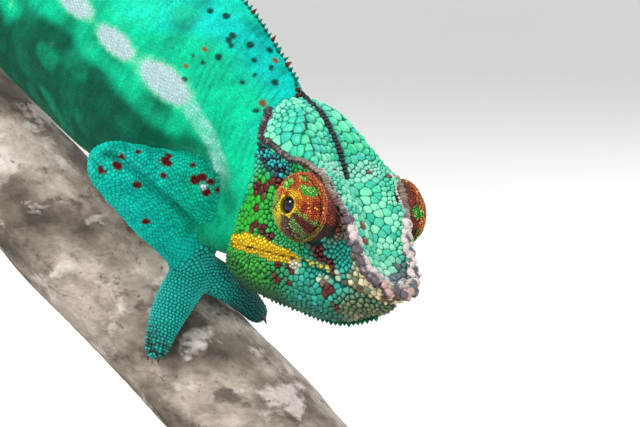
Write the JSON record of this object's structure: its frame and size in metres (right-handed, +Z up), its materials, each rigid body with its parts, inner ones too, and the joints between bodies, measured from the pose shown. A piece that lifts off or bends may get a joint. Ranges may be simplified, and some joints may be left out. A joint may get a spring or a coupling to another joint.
{
  "type": "panther chameleon",
  "caption": "Panther chameleon with a casqued head, turret eyes, mitten feet and a coiled tail, walking down a cut branch held by rods on a flat display base.",
  "frame": {"origin": "the centre of the base's underside, which is the bottom centre of the bounding box", "axes": "+X the way the chameleon walks, down the branch, along the base; +Y the animal's left; +Z up"},
  "size_m": [0.29, 0.12, 0.2246],
  "materials": {
    "skin": "scaly turquoise green skin",
    "skin_head": "scaly green skin of the head",
    "eye_skin": "finely scaled orange, green and yellow lids",
    "eyeball": "wet gloss black",
    "claw": "dark horn",
    "bark": "smooth grey brown bark with lichen patches",
    "base": "dark satin lacquer",
    "steel": "satin"
  },
  "bodies": {
    "root": {"head": "skin_head", "jaw": "skin_head", "eye_turret_left": "eye_skin", "eyeball_left": "eyeball", "eye_turret_right": "eye_skin", "eyeball_right": "eyeball", "neck": "skin", "trunk": "skin", "tail_root": "skin", "tail_upper": "skin", "tail_coil": "skin", "tail_tip": "skin", "arm_left_upper": "skin", "arm_left_lower": "skin", "hand_left": "skin", "claw_arm_left_outer_1": "claw", "claw_arm_left_outer_2": "claw", "claw_arm_left_inner_1": "claw", "claw_arm_left_inner_2": "claw", "claw_arm_left_inner_3": "claw", "arm_right_upper": "skin", "arm_right_lower": "skin", "hand_right": "skin", "claw_arm_right_outer_1": "claw", "claw_arm_right_outer_2": "claw", "claw_arm_right_inner_1": "claw", "claw_arm_right_inner_2": "claw", "claw_arm_right_inner_3": "claw", "leg_left_upper": "skin", "leg_left_lower": "skin", "foot_left": "skin", "claw_leg_left_outer_1": "claw", "claw_leg_left_outer_2": "claw", "claw_leg_left_outer_3": "claw", "claw_leg_left_inner_1": "claw", "claw_leg_left_inner_2": "claw", "leg_right_upper": "skin", "leg_right_lower": "skin", "foot_right": "skin", "claw_leg_right_outer_1": "claw", "claw_leg_right_outer_2": "claw", "claw_leg_right_outer_3": "claw", "claw_leg_right_inner_1": "claw", "claw_leg_right_inner_2": "claw", "branch": "bark", "stand_base": "base", "stand_rod_front": "steel", "stand_rod_rear": "steel", "stand_collar_front": "steel", "stand_collar_rear": "steel"}
  },
  "joints": []
}
